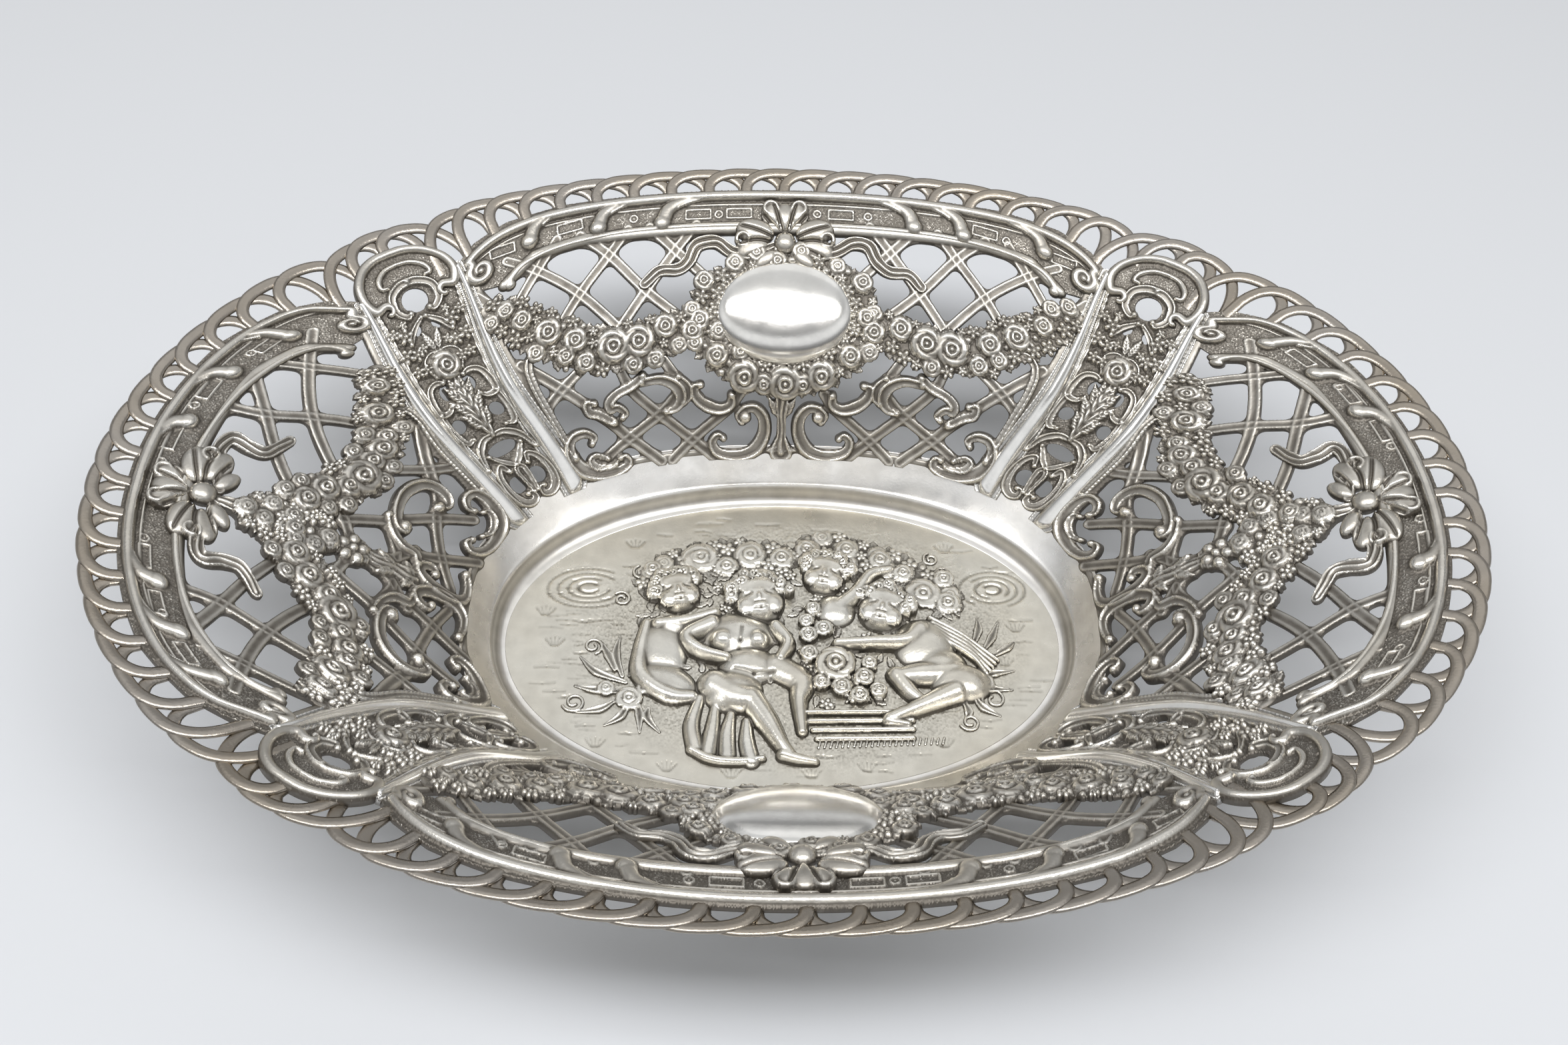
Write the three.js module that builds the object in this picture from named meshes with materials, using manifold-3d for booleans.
// Oval pierced silver bowl: a stepped solid dish, eight openwork wall panels with seam ribs between
// them, scrolled top mouldings, two polished domes, four ribbon bows and a gallery of crossing loops.
import * as THREE from 'three';
import { mergeVertices } from 'three/addons/utils/BufferGeometryUtils.js';
import Module from 'manifold-3d';

const wasm = await Module();
wasm.setup();

// Plan and height of the wall at its five levels, in mm
const WELL_LENGTH = 146;
const WELL_WIDTH = 92;
const FLARE_LENGTH = 165;
const FLARE_WIDTH = 113;
const FLARE_HEIGHT = 14;
const WAIST_LENGTH = 210;
const WAIST_WIDTH = 139;
const WAIST_HEIGHT = 36;
const SHOULDER_LENGTH = 277;
const SHOULDER_WIDTH = 196;
const SHOULDER_HEIGHT = 57.3;
const RIM_LENGTH = 329;
const RIM_WIDTH = 232.5;
const RIM_HEIGHT = 65.5;

// Thicknesses and heights of the work, in mm
const SHEET = 1.2;
const SEAT_GAP = 0.4;
const WELL_DEPTH = 5;
const BAR_WIDTH = 2.6;
const BORDER_WIDTH = 2;
const GARLAND_WIDTH = 11;
const GARLAND_RELIEF = 1.8;
const WREATH_WIDTH = 8;
const GROUND_SHARE = 0.8;
const SCROLL_WIDTH = 3.2;
const ROLL_WIDTH = 4;
const ROLL_RELIEF = 2.6;
const VOLUTE_DIAMETER = 6.4;
const INNER_ROLL_WIDTH = 2;
const INNER_ROLL_RELIEF = 1.4;
const BAND_RELIEF = 0.4;
const RIB_FOOT_WIDTH = 7.6;
const RIB_TOP_WIDTH = 3.2;
const RIB_RELIEF = 2;
const LOOP_WIDTH = 2.2;
const GALLERY_DIP = 2.6;
const LOOP_THICKNESS = 1.4;
const DOME_LENGTH = 33;
const DOME_WIDTH = 24.5;
const DOME_RISE = 5;
const BOW_THICKNESS = 1.4;
const KNOT_DIAMETER = 5;
const KNOT_RISE = 1;

// Angles of the seam ribs round the plan, in degrees from the long axis, at foot and shoulder
const END_RIB_FOOT_ANGLE = 33;
const END_RIB_TOP_ANGLE = 39.7;
const LONG_RIB_FOOT_ANGLE = 48.6;
const LONG_RIB_TOP_ANGLE = 52.5;

// Counts
const LONG_LOOPS = 19;
const END_LOOPS = 17;
const NARROW_LOOPS = 3;
const DISH_SIDES = 48;
const DOME_SIDES = 18;

// Places up the wall, as a share of its height line: 0 at the well, 1 at the rim
const LEVELS = [0, 0.16, 0.42, 0.79, 1];
const FOOT = 0.16;
const RIB_TOP = 0.78;
const GALLERY_TOP = 0.99;
const HALF_LENGTHS = [WELL_LENGTH, FLARE_LENGTH, WAIST_LENGTH, SHOULDER_LENGTH, RIM_LENGTH].map((v) => v / 2);
const HALF_WIDTHS = [WELL_WIDTH, FLARE_WIDTH, WAIST_WIDTH, SHOULDER_WIDTH, RIM_WIDTH].map((v) => v / 2);
const HEIGHTS = [SHEET, FLARE_HEIGHT, WAIST_HEIGHT, SHOULDER_HEIGHT, RIM_HEIGHT];
const SQUARENESS = [2.05, 2.4, 2.75, 2.2, 2.02];
const LOOP_SQUARENESS = 2.6;

// Blank drawing scale: the flat blanks are drawn in about true mm before they are formed
const BLANK_RISE = 97;
const CHORD_ERROR = 0.4;
const STRAIGHT_ERROR = 0.25;
const STRETCH = { long: 0.31, end: 0.2, narrow: 0.5 };
const LEAST_OPENING = 3;

const silver = (roughness) => new THREE.MeshStandardMaterial({ color: 0xc8c5bc, metalness: 1, roughness });
const polished = silver(0.12);
const satin = silver(0.4);
const chased = silver(0.32);
const oxidised = new THREE.MeshStandardMaterial({ color: 0x9a958a, metalness: 1, roughness: 0.45 });

// Smooth curve through one value per level
function through(values, at) {
  const slope = (i) => {
    const a = Math.max(i - 1, 0);
    const b = Math.min(i + 1, LEVELS.length - 1);
    return (values[b] - values[a]) / (LEVELS[b] - LEVELS[a]);
  };
  let i = 0;
  while (i < LEVELS.length - 2 && at > LEVELS[i + 1]) i += 1;
  const span = LEVELS[i + 1] - LEVELS[i];
  const x = (at - LEVELS[i]) / span;
  const start = (2 * x ** 3 - 3 * x ** 2 + 1) * values[i] + (x ** 3 - 2 * x ** 2 + x) * span * slope(i);
  const end = (3 * x ** 2 - 2 * x ** 3) * values[i + 1] + (x ** 3 - x ** 2) * span * slope(i + 1);
  return start + end;
}

// Point of a squared oval in plan
function oval(halfLength, halfWidth, squareness, angle, height) {
  const c = Math.cos(angle);
  const s = Math.sin(angle);
  const k = (Math.abs(c) ** squareness + Math.abs(s) ** squareness) ** (-1 / squareness);
  return new THREE.Vector3(halfLength * c * k, halfWidth * s * k, height);
}

// Point of the formed wall's inner face
function wall(angle, at) {
  return oval(
    through(HALF_LENGTHS, at),
    through(HALF_WIDTHS, at),
    through(SQUARENESS, at),
    angle,
    through(HEIGHTS, at),
  );
}

// The eight panels, each with its middle angle and half spread in degrees at a level
const alongRib = (foot, top) => (at) => foot + ((at - FOOT) / (LEVELS[3] - FOOT)) * (top - foot);
const endRib = alongRib(END_RIB_FOOT_ANGLE, END_RIB_TOP_ANGLE);
const longRib = alongRib(LONG_RIB_FOOT_ANGLE, LONG_RIB_TOP_ANGLE);
const longPanel = (name, middle) => ({
  name, middle: () => middle, spread: (at) => 90 - longRib(at), kind: 'long', loops: LONG_LOOPS,
});
const endPanel = (name, middle) => ({ name, middle: () => middle, spread: endRib, kind: 'end', loops: END_LOOPS });
const narrowPanel = (name, start, sign) => ({
  name,
  middle: (at) => start + (sign * (endRib(at) + longRib(at))) / 2,
  spread: (at) => (longRib(at) - endRib(at)) / 2,
  kind: 'narrow',
  loops: NARROW_LOOPS,
});
const PANELS = [
  longPanel('back', 90),
  longPanel('front', 270),
  endPanel('right', 0),
  endPanel('left', 180),
  narrowPanel('back_right', 0, 1),
  narrowPanel('back_left', 180, -1),
  narrowPanel('front_left', 180, 1),
  narrowPanel('front_right', 360, -1),
];

// s runs from -1 to 1 across a panel, seen from inside the bowl, and t up the wall
function onWall(panel, s, t) {
  return wall(THREE.MathUtils.degToRad(panel.middle(t) - panel.spread(t) * s), t);
}

// Millimetres of wall per unit of s and per unit of t, and the inward normal
function metric(panel, s, t) {
  const step = 1e-3;
  const across = onWall(panel, s + step, t).sub(onWall(panel, s - step, t)).divideScalar(2 * step);
  const up = onWall(panel, s, t + step).sub(onWall(panel, s, t - step)).divideScalar(2 * step);
  return { across: across.length(), up: up.length(), normal: across.cross(up).normalize() };
}

for (const panel of PANELS) panel.half = metric(panel, 0, 0.5).across;

const blankPoint = (panel, s, t, h) => new THREE.Vector3(s * panel.half, t * BLANK_RISE, h);

// Closed solid from rings of equal length, its faces turned outward
function loft(rings) {
  const n = rings[0].length;
  const points = rings.flat();
  const index = [];
  for (let r = 0; r + 1 < rings.length; r += 1) {
    for (let i = 0; i < n; i += 1) {
      const a = r * n + i;
      const b = r * n + ((i + 1) % n);
      index.push(a, b, a + n, b, b + n, a + n);
    }
  }
  const last = (rings.length - 1) * n;
  for (let i = 1; i + 1 < n; i += 1) {
    index.push(0, i + 1, i);
    index.push(last, last + i, last + i + 1);
  }
  return outward(points, index);
}

function outward(points, index) {
  let volume = 0;
  for (let i = 0; i < index.length; i += 3) {
    const [a, b, c] = [points[index[i]], points[index[i + 1]], points[index[i + 2]]];
    volume += a.dot(b.clone().cross(c));
  }
  const turned = volume > 0 ? index : index.slice().reverse();
  const geometry = new THREE.BufferGeometry();
  geometry.setAttribute('position', new THREE.Float32BufferAttribute(points.flatMap((p) => p.toArray()), 3));
  geometry.setIndex(turned);
  return geometry;
}

// Flat plate with an edge and holes, from height low to height high
function extrude(edge, holes, low, high) {
  if (THREE.ShapeUtils.isClockWise(edge)) edge.reverse();
  const shape = new THREE.Shape(edge);
  shape.holes = holes.map((hole) => new THREE.Path(hole));
  const geometry = new THREE.ExtrudeGeometry(shape, { depth: high - low, bevelEnabled: false });
  geometry.translate(0, 0, low);
  return geometry;
}

function plate(panel, outline, holes, low, high) {
  const at = ([s, t]) => new THREE.Vector2(s * panel.half, t * BLANK_RISE);
  return extrude(outline.map(at), holes.map((hole) => hole.map(at)), low, high);
}

// Bar, roll or scroll along a path of [s, t, scale] places; its section is [across, height] in mm
function run(panel, path, section) {
  const rings = path.map(([s, t, scale = 1], i) => {
    const m = metric(panel, s, t);
    const before = path[Math.max(i - 1, 0)];
    const after = path[Math.min(i + 1, path.length - 1)];
    const along = new THREE.Vector2((after[0] - before[0]) * m.across, (after[1] - before[1]) * m.up).normalize();
    return section.map(([across, height]) => {
      const ds = (-along.y * across * scale) / m.across;
      const dt = (along.x * across * scale) / m.up;
      return blankPoint(panel, s + ds, t + dt, height > 0 ? height * scale : height);
    });
  });
  return loft(rings);
}

// Smooth path through a few places
function smooth(places, steps) {
  const curve = new THREE.CatmullRomCurve3(places.map(([s, t, scale = 1]) => new THREE.Vector3(s, t, scale)));
  return curve.getPoints(steps).map((p) => p.toArray());
}

const flatSection = (width) => [
  [-width / 2, -SHEET],
  [width / 2, -SHEET],
  [width / 2, 0],
  [-width / 2, 0],
];
const roundSection = (width, height) => [
  [-width / 2, -SHEET],
  [width / 2, -SHEET],
  [width / 2, height * 0.3],
  [0, height],
  [-width / 2, height * 0.3],
];

const mirrored = (path) => path.map(([s, t, scale = 1]) => [-s, t, scale]);
const bothWays = (paths) => paths.flatMap((path) => [path, mirrored(path)]);

// Manifold solid from a closed geometry
function solid(geometry) {
  const bare = geometry.clone();
  bare.deleteAttribute('normal');
  bare.deleteAttribute('uv');
  const merged = mergeVertices(bare, 1e-4);
  return new wasm.Manifold(new wasm.Mesh({
    numProp: 3,
    vertProperties: new Float32Array(merged.attributes.position.array),
    triVerts: new Uint32Array(merged.index.array),
  }));
}

const join = (geometries) => geometries.map(solid).reduce((whole, piece) => whole.add(piece));

// Indexed points and triangles of a joined solid
function meshOf(joined) {
  const mesh = joined.getMesh();
  const points = [];
  for (let i = 0; i < mesh.numVert; i += 1) {
    const [x, y, z] = mesh.vertProperties.slice(i * mesh.numProp, i * mesh.numProp + 3);
    points.push(new THREE.Vector3(x, y, z));
  }
  return { points, index: Array.from(mesh.triVerts) };
}

// Edges of the openings that joined flat work leaves in its upper face
function openings(joined) {
  const { points, index } = meshOf(joined);
  const level = Math.max(...points.map((p) => p.z)) - SHEET / 4;
  const sides = new Map();
  for (let i = 0; i < index.length; i += 3) {
    const corners = index.slice(i, i + 3);
    if (corners.some((corner) => points[corner].z < level)) continue;
    corners.forEach((a, k) => sides.set(`${a}_${corners[(k + 1) % 3]}`, [a, corners[(k + 1) % 3]]));
  }
  const edges = new Map();
  for (const [a, b] of sides.values()) if (!sides.has(`${b}_${a}`)) edges.set(a, b);
  const loops = [];
  while (edges.size > 0) {
    const loop = [];
    for (let at = edges.keys().next().value; edges.has(at);) {
      loop.push(new THREE.Vector2(points[at].x, points[at].y));
      const to = edges.get(at);
      edges.delete(at);
      at = to;
    }
    loops.push(withoutStraights(loop));
  }
  return loops.filter((loop) => THREE.ShapeUtils.area(loop) < -LEAST_OPENING);
}

// Sheet with the openings of joined flat work cut through it
function pierced(sheet, joined) {
  const cuts = openings(joined).map((edge) => solid(extrude(edge, [], -2 * SHEET, SHEET)));
  return cuts.reduce((rest, cut) => rest.subtract(cut), sheet);
}

// Drops the corners of a loop that lie within a hair of the line past them
function withoutStraights(loop) {
  const kept = loop.slice();
  for (let i = 0; i < kept.length && kept.length > 3;) {
    const before = kept[(i + kept.length - 1) % kept.length];
    const next = kept[(i + 1) % kept.length];
    const line = next.clone().sub(before);
    const off = Math.abs(line.cross(kept[i].clone().sub(before))) / line.length();
    if (off < STRAIGHT_ERROR) kept.splice(i, 1);
    else i += 1;
  }
  return kept;
}

// Forms a flat blank onto the wall, halving the edges that would cut a corner off its curve
function form(panel, joined) {
  const { points, index } = meshOf(joined);
  const bend = (p) => {
    const s = p.x / panel.half;
    const t = p.y / BLANK_RISE;
    return onWall(panel, s, t).addScaledVector(metric(panel, s, t).normal, p.z);
  };
  const formed = points.map(bend);
  let triangles = index;
  for (let again = true; again;) {
    again = false;
    const middles = new Map();
    const middleOf = (a, b) => {
      const key = a < b ? `${a}_${b}` : `${b}_${a}`;
      if (!middles.has(key)) {
        const flat = points[a].clone().add(points[b]).multiplyScalar(0.5);
        const bent = bend(flat);
        const chord = formed[a].clone().add(formed[b]).multiplyScalar(0.5);
        const split = chord.distanceTo(bent) > CHORD_ERROR;
        middles.set(key, split ? points.length : -1);
        if (split) {
          points.push(flat);
          formed.push(bent);
          again = true;
        }
      }
      return middles.get(key);
    };
    const next = [];
    for (let i = 0; i < triangles.length; i += 3) {
      let corners = triangles.slice(i, i + 3);
      let cuts = [0, 1, 2].map((k) => middleOf(corners[k], corners[(k + 1) % 3]));
      const count = cuts.filter((cut) => cut >= 0).length;
      const turn = count === 1 ? cuts.findIndex((cut) => cut >= 0) : (cuts.findIndex((cut) => cut < 0) + 1) % 3;
      if (count === 1 || count === 2) {
        corners = [0, 1, 2].map((k) => corners[(k + turn) % 3]);
        cuts = [0, 1, 2].map((k) => cuts[(k + turn) % 3]);
      }
      const [a, b, c] = corners;
      const [ab, bc, ca] = cuts;
      if (count === 0) next.push(a, b, c);
      if (count === 1) next.push(a, ab, c, ab, b, c);
      if (count === 2) next.push(ab, b, bc, a, ab, bc, a, bc, c);
      if (count === 3) next.push(a, ab, ca, ab, b, bc, ca, bc, c, ab, bc, ca);
    }
    triangles = next;
  }
  return outward(formed, triangles);
}

const bowl = new THREE.Group();

function addPiece(name, geometry, material) {
  geometry.computeVertexNormals();
  const mesh = new THREE.Mesh(geometry, material);
  mesh.name = name;
  bowl.add(mesh);
}

// Solid dish: flat floor, cove up to the rounded well edge, plain flare to the panels' feet
function dish() {
  const ring = (share, height, offset = 0) => Array.from({ length: DISH_SIDES }, (_, i) => {
    const angle = (i / DISH_SIDES) * 2 * Math.PI;
    const mix = (a, b) => THREE.MathUtils.lerp(a, b, share);
    const halfLength = mix(HALF_LENGTHS[0], HALF_LENGTHS[1]) + offset;
    const halfWidth = mix(HALF_WIDTHS[0], HALF_WIDTHS[1]) + offset;
    return oval(halfLength, halfWidth, mix(SQUARENESS[0], SQUARENESS[1]), angle, height);
  });
  const rise = FLARE_HEIGHT - SHEET;
  const edge = SHEET + WELL_DEPTH;
  const lip = 1 - (SEAT_GAP * 0.8) / ((FLARE_LENGTH - WELL_LENGTH) / 2);
  const lipHeight = FLARE_HEIGHT - SEAT_GAP * 0.8;
  const inside = [
    ring(lip, lipHeight),
    ring(0.42, edge + 0.6),
    ring(0.31, edge - 0.5),
    ring(0.27, SHEET + WELL_DEPTH * 0.5),
    ring(0.14, SHEET + WELL_DEPTH * 0.12),
    ring(0, SHEET),
  ];
  const under = [
    ring(0.1, 0),
    ring(0.3, WELL_DEPTH * 0.35, SHEET * 0.5),
    ring(0.36, edge - SHEET * 0.6, SHEET * 0.5),
    ring(lip, lipHeight - SHEET * 0.75, SHEET * 0.75),
  ];
  return loft([...under, ...inside]);
}

// Seam rib on the joint at the panel's edge: round ridge between two flatter bands
function rib(panel, side) {
  const steps = 5;
  const path = Array.from({ length: steps + 1 }, (_, i) => {
    const t = THREE.MathUtils.lerp(FOOT, RIB_TOP, i / steps);
    return [side, t, ribWidth(t) / RIB_FOOT_WIDTH];
  });
  const half = RIB_FOOT_WIDTH / 2;
  const section = [
    [-half, -SHEET],
    [half, -SHEET],
    [half, RIB_RELIEF * 0.25],
    [half * 0.45, RIB_RELIEF * 0.4],
    [half * 0.25, RIB_RELIEF],
    [-half * 0.25, RIB_RELIEF],
    [-half * 0.45, RIB_RELIEF * 0.4],
    [-half, RIB_RELIEF * 0.25],
  ];
  return run(panel, path, section);
}

function ribWidth(t) {
  return THREE.MathUtils.lerp(RIB_FOOT_WIDTH, RIB_TOP_WIDTH, THREE.MathUtils.clamp((t - FOOT) / (RIB_TOP - FOOT), 0, 1));
}

// Half extent of a panel's own work at a level, clear of its ribs
function edgeOf(panel, t) {
  const across = Math.min(metric(panel, 1, t).across, metric(panel, -1, t).across);
  return 1 - (ribWidth(t) / 2 + SEAT_GAP) / across;
}

// Lower and upper edges of the top moulding over half a panel: flat, then curling down to the end
const MOULDING = {
  long: {
    foot: [[0, 0.795], [0.6, 0.795], [0.76, 0.775], [0.88, 0.705]],
    top: [[0, 0.91], [0.62, 0.91], [0.8, 0.89], [0.92, 0.85], [1, 0.8]],
  },
  end: {
    foot: [[0, 0.825], [0.55, 0.825], [0.75, 0.79], [0.88, 0.715]],
    top: [[0, 0.92], [0.6, 0.92], [0.8, 0.895], [0.92, 0.855], [1, 0.81]],
  },
  narrow: {
    foot: [[0, 0.8], [0.35, 0.8], [0.65, 0.765], [0.88, 0.71]],
    top: [[0, 0.915], [0.25, 0.91], [0.6, 0.885], [1, 0.805]],
  },
};

// Height of an edge over any place across the panel
function heightOn(edge, s) {
  const last = edge.findIndex(([place]) => place >= Math.abs(s));
  if (last < 0) return edge[edge.length - 1][1];
  if (last === 0) return edge[0][1];
  const [[from, low], [to, high]] = [edge[last - 1], edge[last]];
  return THREE.MathUtils.mapLinear(Math.abs(s), from, to, low, high);
}

const mouldingFoot = (panel, s) => heightOn(MOULDING[panel.kind].foot, s);
const mouldingTop = (panel, s) => heightOn(MOULDING[panel.kind].top, s);

// Half extent of a panel's sheet and moulding where they meet at the ends
const reachOf = (panel) => edgeOf(panel, mouldingFoot(panel, 1));

// Places across the panel where an edge turns, out to a half extent, with wide stretches divided
function turnsOf(panel, edges, reach) {
  const places = edges.flat().map(([place]) => place).filter((place) => place < reach - 0.02);
  const turns = [...new Set([...places, reach])].sort((a, b) => a - b);
  const half = turns.slice(1).flatMap((turn, i) => {
    const parts = Math.ceil((turn - turns[i]) / STRETCH[panel.kind]);
    return stations(turns[i], turn, parts).slice(1);
  });
  return [...half.map((place) => -place).reverse(), 0, ...half];
}

const stations = (from, to, count) => Array.from({ length: count + 1 }, (_, i) => from + ((to - from) * i) / count);

// Slab of the blank, lofted across the panel from its section at each place
function slab(panel, sectionAt, places) {
  return loft(places.map((s) => sectionAt(s).map((place) => blankPoint(panel, ...place))));
}

const between = (rows, low, high) => (x) => {
  const places = rows.map((row) => row(x));
  return [...places.map((place) => [...place, low]), ...places.map((place) => [...place, high]).reverse()];
};

// Slab over a panel's sheet between its foot and its moulding, inset by a border
function sheetSlab(panel, inset, low, high) {
  const foot = FOOT + inset / metric(panel, 0, FOOT).up;
  const top = (s) => mouldingFoot(panel, s) - (SEAT_GAP + inset) / metric(panel, s, 0.8).up;
  const reach = reachOf(panel);
  const rows = [0, 0.33, 0.67, 1].map((share) => (s) => {
    const t = THREE.MathUtils.lerp(foot, top(s), share);
    const side = share < 1 ? edgeOf(panel, t) : reach;
    return [(s / reach) * (side - inset / metric(panel, 1, t).across), t];
  });
  return slab(panel, between(rows, low, high), turnsOf(panel, [MOULDING[panel.kind].foot], reach));
}

// Lattice bars, scrolls and garland of the large panels, drawn for the right half
const LONG_BARS = [
  [[0.26, 0.81], [0.335, 0.735], [0.45, 0.622], [0.6, 0.48]],
  [[0.465, 0.81], [0.54, 0.738], [0.66, 0.632], [0.8, 0.5]],
  [[0.68, 0.81], [0.77, 0.725], [0.9, 0.6]],
  [[0.33, 0.52], [0.45, 0.622], [0.54, 0.738], [0.61, 0.81]],
  [[0.55, 0.5], [0.66, 0.632], [0.77, 0.725], [0.85, 0.775]],
  [[0.22, 0.62], [0.335, 0.735], [0.4, 0.81]],
  [[0.8, 0.52], [0.9, 0.6], [0.98, 0.69]],
  [[0.93, 0.46], [0.83, 0.372], [0.665, 0.215], [0.56, 0.14]],
  [[0.98, 0.305], [0.83, 0.372], [0.7, 0.43]],
  [[0.6, 0.4], [0.51, 0.268], [0.4, 0.19], [0.32, 0.14]],
  [[0.86, 0.16], [0.665, 0.215], [0.51, 0.268], [0.42, 0.32]],
  [[0.51, 0.14], [0.4, 0.19], [0.23, 0.27], [0.15, 0.34]],
  [[0.44, 0.45], [0.4, 0.36], [0.34, 0.31]],
];
const END_BARS = [
  [[0.39, 0.835], [0.455, 0.74], [0.575, 0.643], [0.7, 0.53]],
  [[0.58, 0.835], [0.455, 0.74], [0.31, 0.665], [0.16, 0.59]],
  [[0.61, 0.835], [0.72, 0.74], [0.9, 0.61]],
  [[0.82, 0.81], [0.72, 0.74], [0.575, 0.643], [0.42, 0.51]],
  [[0.98, 0.28], [0.8, 0.348], [0.62, 0.43]],
  [[0.98, 0.45], [0.8, 0.348], [0.7, 0.3], [0.56, 0.28]],
  [[0.17, 0.5], [0.3, 0.39], [0.42, 0.335], [0.56, 0.28], [0.76, 0.2]],
  [[0.56, 0.28], [0.3, 0.237], [0.06, 0.19]],
  [[0.18, 0.32], [0.3, 0.237], [0.48, 0.15]],
  [[0, 0.43], [0.26, 0.51]],
  [[0, 0.42], [0.1, 0.34], [0.34, 0.38]],
  [[0.1, 0.34], [0.24, 0.29]],
];
const LONG_GARLAND = [[0.93, 0.62, 0.6], [0.84, 0.55], [0.72, 0.48], [0.58, 0.462], [0.42, 0.49], [0.28, 0.52]];
const END_GARLAND = [
  [0.11, 0.62, 0.7], [0.2, 0.56], [0.33, 0.505], [0.5, 0.465], [0.68, 0.465], [0.82, 0.52], [0.91, 0.61, 0.6],
];
const LONG_SCROLLS = [
  [[0.8, 0.235], [0.89, 0.24], [0.93, 0.2], [0.87, 0.16], [0.73, 0.16]],
  [[0.27, 0.19], [0.29, 0.16], [0.17, 0.155], [0.08, 0.21], [0.12, 0.27], [0.17, 0.25]],
  [[0.66, 0.28], [0.67, 0.32], [0.54, 0.37], [0.43, 0.35], [0.41, 0.31], [0.46, 0.275]],
  [[0.34, 0.35], [0.33, 0.3], [0.24, 0.275], [0.19, 0.33]],
];
const END_SCROLLS = [
  [[0.8, 0.245], [0.9, 0.235], [0.9, 0.185], [0.72, 0.16], [0.55, 0.18]],
  [[0.3, 0.175], [0.1, 0.175], [0.02, 0.22], [0.09, 0.275], [0.16, 0.25]],
  [[0.66, 0.28], [0.73, 0.3], [0.56, 0.36], [0.36, 0.355], [0.22, 0.335], [0.16, 0.29]],
];
const WREATH_CENTRE = 0.54;
const STEMS = {
  long: [[[0, 0.42, 1], [0, 0.3, 0.6], [0, 0.15, 0.6]], [[0, 0.82], [0, 0.64]]],
  end: [[[0, 0.84, 0.7], [0, 0.6, 0.8], [0, 0.46, 1], [0, 0.36, 0.5], [0, 0.29, 1.2], [0, 0.15, 0.5]]],
};

const ellipsePath = (panel, s, t, length, width, count) => Array.from({ length: count }, (_, i) => {
  const angle = (i / count) * 2 * Math.PI;
  const m = metric(panel, s, t);
  return [s + ((length / 2) * Math.cos(angle)) / m.across, t + ((width / 2) * Math.sin(angle)) / m.up];
});

function largePanel(panel) {
  const long = panel.kind === 'long';
  const bars = bothWays(long ? LONG_BARS : END_BARS).map((bar) => run(panel, bar, flatSection(BAR_WIDTH)));
  const scrolls = bothWays(long ? LONG_SCROLLS : END_SCROLLS).map((scroll) => (
    run(panel, smooth(scroll, 5), flatSection(SCROLL_WIDTH))
  ));
  const flowers = [...bothWays([smooth(long ? LONG_GARLAND : END_GARLAND, 7)]), ...STEMS[panel.kind]];
  const grounds = flowers.map((path) => run(panel, path, flatSection(GARLAND_WIDTH * GROUND_SHARE)));
  const frame = solid(sheetSlab(panel, 0, -SHEET, 0));
  const inside = solid(sheetSlab(panel, BORDER_WIDTH, -2 * SHEET, 2 * SHEET));
  const openwork = join([...bars, ...scrolls, ...grounds]).intersect(frame).add(frame.subtract(inside));
  if (!long) return form(panel, pierced(frame, openwork));
  const oval = (size, low, high) => {
    return solid(plate(panel, ellipsePath(panel, 0, WREATH_CENTRE, ...size, DOME_SIDES), [], low, high));
  };
  const seat = oval([DOME_LENGTH + 2 * WREATH_WIDTH, DOME_WIDTH + 2 * WREATH_WIDTH], -SHEET, 0);
  const opening = oval([DOME_LENGTH + 2 * SEAT_GAP, DOME_WIDTH + 2 * SEAT_GAP], -2 * SHEET, 2 * SHEET);
  return form(panel, pierced(frame, openwork.add(seat).subtract(opening)));
}

// Chased flowers soldered over the lattice: a garland to each side, and a sprig or a wreath between
function garland(panel, side) {
  const path = smooth(panel.kind === 'long' ? LONG_GARLAND : END_GARLAND, 7);
  const lifted = roundSection(GARLAND_WIDTH, GARLAND_RELIEF).map(([x, h]) => [x, Math.max(h, 0) + SEAT_GAP]);
  return form(panel, solid(run(panel, side > 0 ? path : mirrored(path), lifted)));
}

// Narrow panel: a sheet with a round eye, four pairs of side openings and a low slot
function narrowSheet(panel) {
  const hole = (s, t, length, width, count) => ellipsePath(panel, s, t, length, width, count);
  const eye = hole(0, 0.745, 7.4, 6.6, 10);
  const sides = [-1, 1].flatMap((side) => [
    hole(side * 0.22, 0.662, 2.8, 3.4, 6),
    hole(side * 0.24, 0.462, 3.6, 4, 7),
    hole(side * 0.5, 0.375, 3.8, 3.4, 7),
    hole(side * 0.27, 0.197, 4.2, 3.2, 7),
  ]);
  const slot = hole(0, 0.287, 7.6, 2.8, 8);
  const holes = [eye, slot, ...sides].map((edge) => solid(plate(panel, edge, [], -2 * SHEET, SHEET)));
  const sheet = holes.reduce((rest, cut) => rest.subtract(cut), solid(sheetSlab(panel, 0, -SHEET, 0)));
  const leaf = run(panel, [[0, 0.56, 1], [0, 0.47, 0.7], [0, 0.33, 1.1]], roundSection(3, GARLAND_RELIEF));
  return form(panel, sheet.add(solid(leaf)));
}

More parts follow.
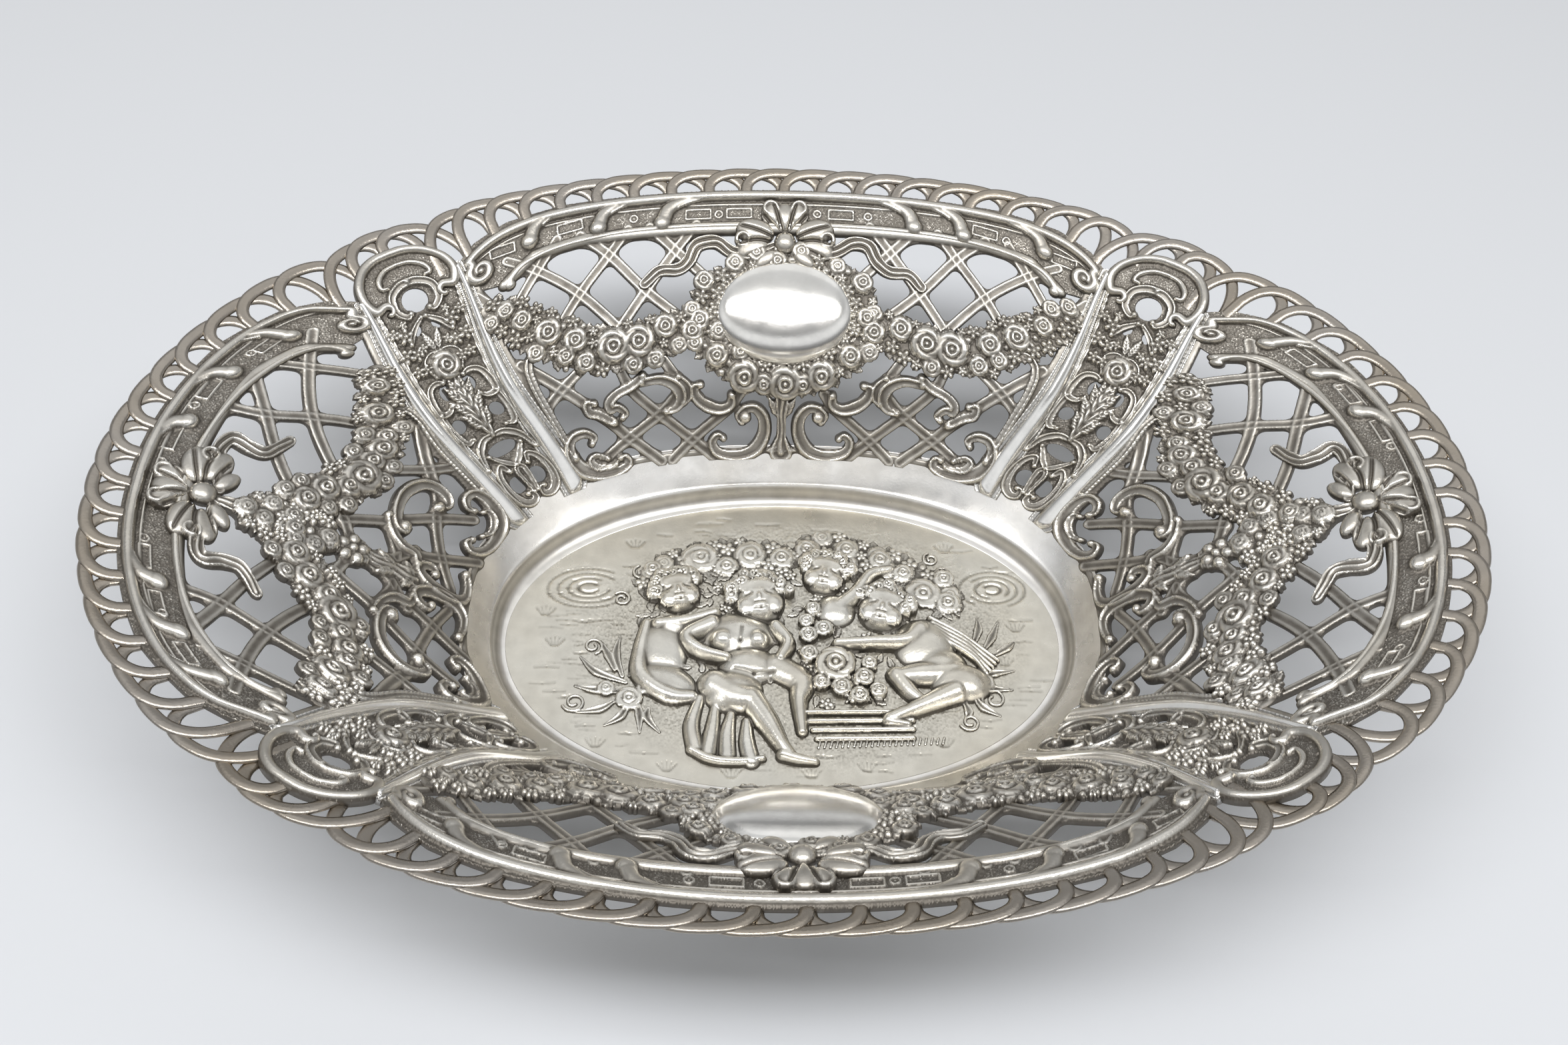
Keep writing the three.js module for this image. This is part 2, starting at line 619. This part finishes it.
// Top moulding: flat band with a thin roll along its foot and a thick roll that ends in volutes
function moulding(panel) {
  const reach = reachOf(panel);
  const m = metric(panel, 0.5, 0.85);
  const profile = (s) => {
    const foot = mouldingFoot(panel, s);
    const top = mouldingTop(panel, s);
    return [
      [s, foot, -SHEET],
      [s, foot, INNER_ROLL_RELIEF * 0.4],
      [s, foot + (INNER_ROLL_WIDTH * 0.5) / m.up, INNER_ROLL_RELIEF],
      [s, foot + INNER_ROLL_WIDTH / m.up, BAND_RELIEF],
      [s, top - ROLL_WIDTH / m.up, BAND_RELIEF],
      [s, top - (ROLL_WIDTH * 0.45) / m.up, ROLL_RELIEF],
      [s, top, ROLL_RELIEF * 0.3],
      [s, top, -SHEET],
    ];
  };
  const band = slab(panel, profile, turnsOf(panel, [MOULDING[panel.kind].foot, MOULDING[panel.kind].top], reach));
  const volutes = [-1, 1].map((side) => {
    const s = side * (reach - (VOLUTE_DIAMETER * 0.55) / m.across);
    const t = mouldingFoot(panel, reach) + (VOLUTE_DIAMETER * 0.6) / m.up;
    const rings = [[1, SEAT_GAP], [1, ROLL_RELIEF * 0.7], [0.5, ROLL_RELIEF * 1.2]].map(([size, height]) => (
      ellipsePath(panel, s, t, VOLUTE_DIAMETER * size, VOLUTE_DIAMETER * size, 9).map((p) => blankPoint(panel, ...p, height))
    ));
    return loft(rings);
  });
  return form(panel, join([band, ...volutes]));
}

// Rim gallery: flat loops, each spanning two pitches and crossing its neighbours, pierced between
function gallery(panel) {
  const pitch = 2 / panel.loops;
  const end = 1 - SEAT_GAP / 2 / metric(panel, 1, 0.95).across;
  const m = metric(panel, 0, 0.95);
  const base = (s) => mouldingTop(panel, s) + SEAT_GAP / metric(panel, s, 0.9).up;
  const crown = (s) => {
    const toEnd = Math.max(0, (Math.abs(s) - 1) / (1.5 * pitch) + 1);
    return GALLERY_TOP - (GALLERY_DIP / m.up) * toEnd ** 2;
  };
  // Place on the loop that starts at a foot, a number of pitches on, set in from its centre line
  const onLoop = (foot, pitches, inward) => {
    const s = foot + pitches * pitch;
    const rise = (1 - Math.abs(1 - pitches) ** LOOP_SQUARENESS) ** (1 / LOOP_SQUARENESS);
    const height = crown(s) - LOOP_WIDTH / 2 / m.up - base(s);
    const lean = rise ** 3;
    const side = Math.sign(1 - pitches) * Math.sqrt(1 - lean ** 2);
    return [s + (side * inward) / m.across, base(s) + rise * height - (lean * inward) / m.up];
  };
  const half = LOOP_WIDTH / 2;
  const floorAt = (s) => [s, base(s) + half / m.up];
  const holes = [];
  for (let foot = -1 - pitch / 2; foot < 1; foot += pitch) {
    const before = foot - pitch;
    holes.push([
      floorAt(foot + half / m.across),
      onLoop(foot, 0.18, half),
      onLoop(foot, 0.5, half * 1.2),
      onLoop(before, 1.82, half),
      floorAt(foot + pitch - half / m.across),
    ]);
    const point = [foot, THREE.MathUtils.lerp(base(foot), crown(foot), 0.42)];
    holes.push([point, onLoop(before, 1.2, half), onLoop(before, 0.8, half)]);
  }
  const rows = [base, crown].map((edge) => (s) => [s, edge(s)]);
  const cuts = holes.map((hole) => solid(plate(panel, hole, [], -2 * LOOP_THICKNESS, LOOP_THICKNESS)));
  const places = turnsOf(panel, [MOULDING[panel.kind].top], end);
  const strip = solid(slab(panel, between(rows, -LOOP_THICKNESS, 0), places));
  return form(panel, cuts.reduce((rest, cut) => rest.subtract(cut), strip));
}

// Polished oval dome, hollow behind, standing in the wreath's opening
function dome(panel) {
  const ring = (rise, inset) => {
    const size = Math.sqrt(1 - rise ** 2);
    const length = DOME_LENGTH * size - 2 * inset;
    const width = DOME_WIDTH * size - 2 * inset;
    const outline = ellipsePath(panel, 0, WREATH_CENTRE, length, width, DOME_SIDES);
    return outline.map(([s, t]) => blankPoint(panel, s, t, DOME_RISE * rise - inset));
  };
  const shares = [0, 0.5, 0.85];
  const hollow = shares.map((rise) => ring(rise, SHEET)).reverse();
  const crown = shares.map((rise) => ring(rise, 0));
  const foot = ring(0, 0).map((p) => p.setZ(-SHEET));
  return form(panel, solid(loft([...hollow, foot, ...crown])));
}

// Ribbon bow: round knot standing on the sheet, two loops over the moulding and two short tails
function bow(panel) {
  const low = INNER_ROLL_RELIEF + SEAT_GAP;
  const high = low + BOW_THICKNESS;
  const top = high + KNOT_RISE;
  const centre = MOULDING[panel.kind].foot[0][1] - (KNOT_DIAMETER / 2 + 2 * SEAT_GAP) / BLANK_RISE;
  const m = metric(panel, 0, centre);
  const at = (x, y) => [x / m.across, centre + y / m.up];
  const loop = [at(1, 1), at(4, 6), at(8, 6), at(9.5, 2), at(7, -3), at(3, -2)];
  const loopHole = [at(3.4, 1), at(5, 3.6), at(7, 3), at(6.4, 0)];
  const tail = [at(1, -1), at(4, -6), at(7, -9), at(5, -10), at(1.4, -5.6)];
  const knot = new THREE.CylinderGeometry(KNOT_DIAMETER / 2, KNOT_DIAMETER / 2, top - SEAT_GAP, 8);
  knot.rotateX(Math.PI / 2);
  knot.translate(0, centre * BLANK_RISE, (SEAT_GAP + top) / 2);
  const parts = [knot];
  for (const [outline, hole] of [[loop, [loopHole]], [tail, []]]) {
    parts.push(plate(panel, outline, hole, low, high));
    parts.push(plate(panel, mirrored(outline), hole.map(mirrored), low, high));
  }
  return form(panel, join(parts));
}

addPiece('dish', dish(), satin);
for (const panel of PANELS) {
  const narrow = panel.kind === 'narrow';
  addPiece(`panel_${panel.name}`, narrow ? narrowSheet(panel) : largePanel(panel), chased);
  addPiece(`moulding_${panel.name}`, moulding(panel), chased);
  addPiece(`gallery_${panel.name}`, gallery(panel), oxidised);
  if (!narrow) {
    for (const [side, hand] of [[-1, 'left'], [1, 'right']]) {
      addPiece(`rib_${panel.name}_${hand}`, form(panel, solid(rib(panel, side))), polished);
    }
    addPiece(`bow_${panel.name}`, bow(panel), chased);
    addPiece(`garland_${panel.name}_left`, garland(panel, -1), chased);
    addPiece(`garland_${panel.name}_right`, garland(panel, 1), chased);
  }
  if (panel.kind === 'long') addPiece(`dome_${panel.name}`, dome(panel), polished);
}

export default bowl;
